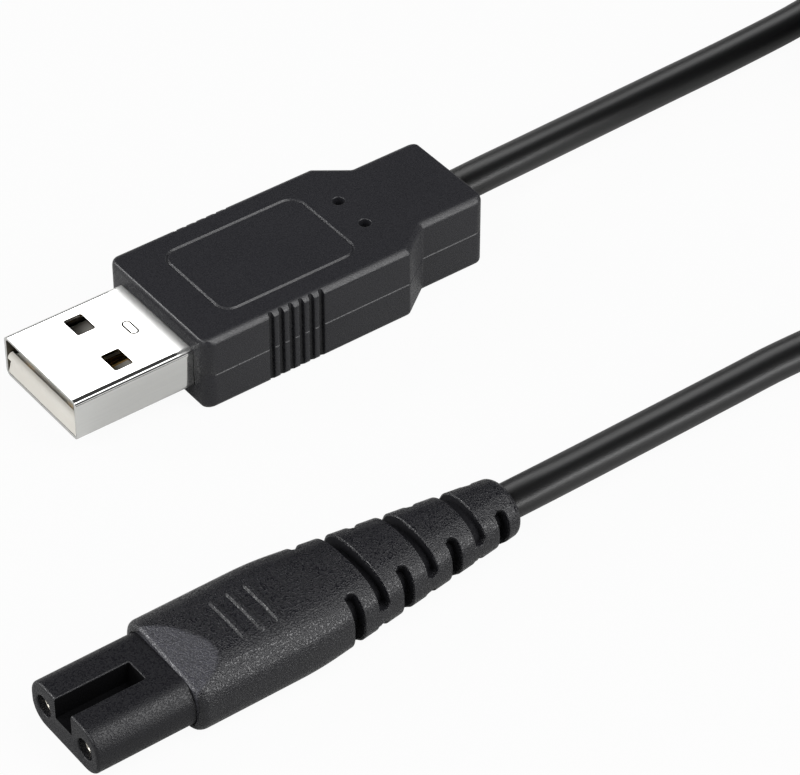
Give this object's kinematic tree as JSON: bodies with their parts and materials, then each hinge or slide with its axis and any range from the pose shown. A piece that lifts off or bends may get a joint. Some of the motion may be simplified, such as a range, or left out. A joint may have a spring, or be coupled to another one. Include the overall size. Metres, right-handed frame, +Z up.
{
  "type": "trimmer charging lead",
  "caption": "Black charging lead of a beard trimmer: USB plug with a ribbed grip, keyed trimmer connector with a slotted strain relief, and a round cord with its spare length coiled and tied.",
  "frame": {"origin": "on the table, under the middle of the box round the two connectors", "axes": "+X along both connectors from their mating faces to the cord, +Z up from the table, +Y from the trimmer connector to the USB plug"},
  "size_m": [0.1653, 0.0574, 0.0098],
  "materials": {
    "nickel_shell": "bright nickel plate",
    "gold_contact": "gold plated",
    "socket_metal": "nickel plated",
    "solder": "dull solder",
    "ivory_insulator": "moulded",
    "inner_mould": "moulded",
    "overmould": "fine moulded grain",
    "nose": "satin moulded",
    "cord_jacket": "semi-gloss extruded",
    "red_core": "extruded",
    "black_core": "extruded",
    "tie": "woven strap"
  },
  "bodies": {
    "root": {"usb_shell": "nickel_shell", "usb_insulator": "ivory_insulator", "usb_contact_power": "gold_contact", "usb_contact_data_minus": "gold_contact", "usb_contact_data_plus": "gold_contact", "usb_contact_ground": "gold_contact", "usb_inner_mould": "inner_mould", "usb_overmould": "overmould", "usb_core_power": "red_core", "usb_core_ground": "black_core", "usb_solder_power": "solder", "usb_solder_ground": "solder", "trimmer_nose": "nose", "trimmer_socket_power": "socket_metal", "trimmer_socket_ground": "socket_metal", "trimmer_inner_mould": "inner_mould", "trimmer_overmould": "overmould", "trimmer_core_power": "red_core", "trimmer_core_ground": "black_core", "trimmer_solder_power": "solder", "trimmer_solder_ground": "solder", "cord_usb_lead": "cord_jacket", "cord_trimmer_lead": "cord_jacket", "cord_coil": "cord_jacket", "cord_tie": "tie"}
  },
  "joints": []
}
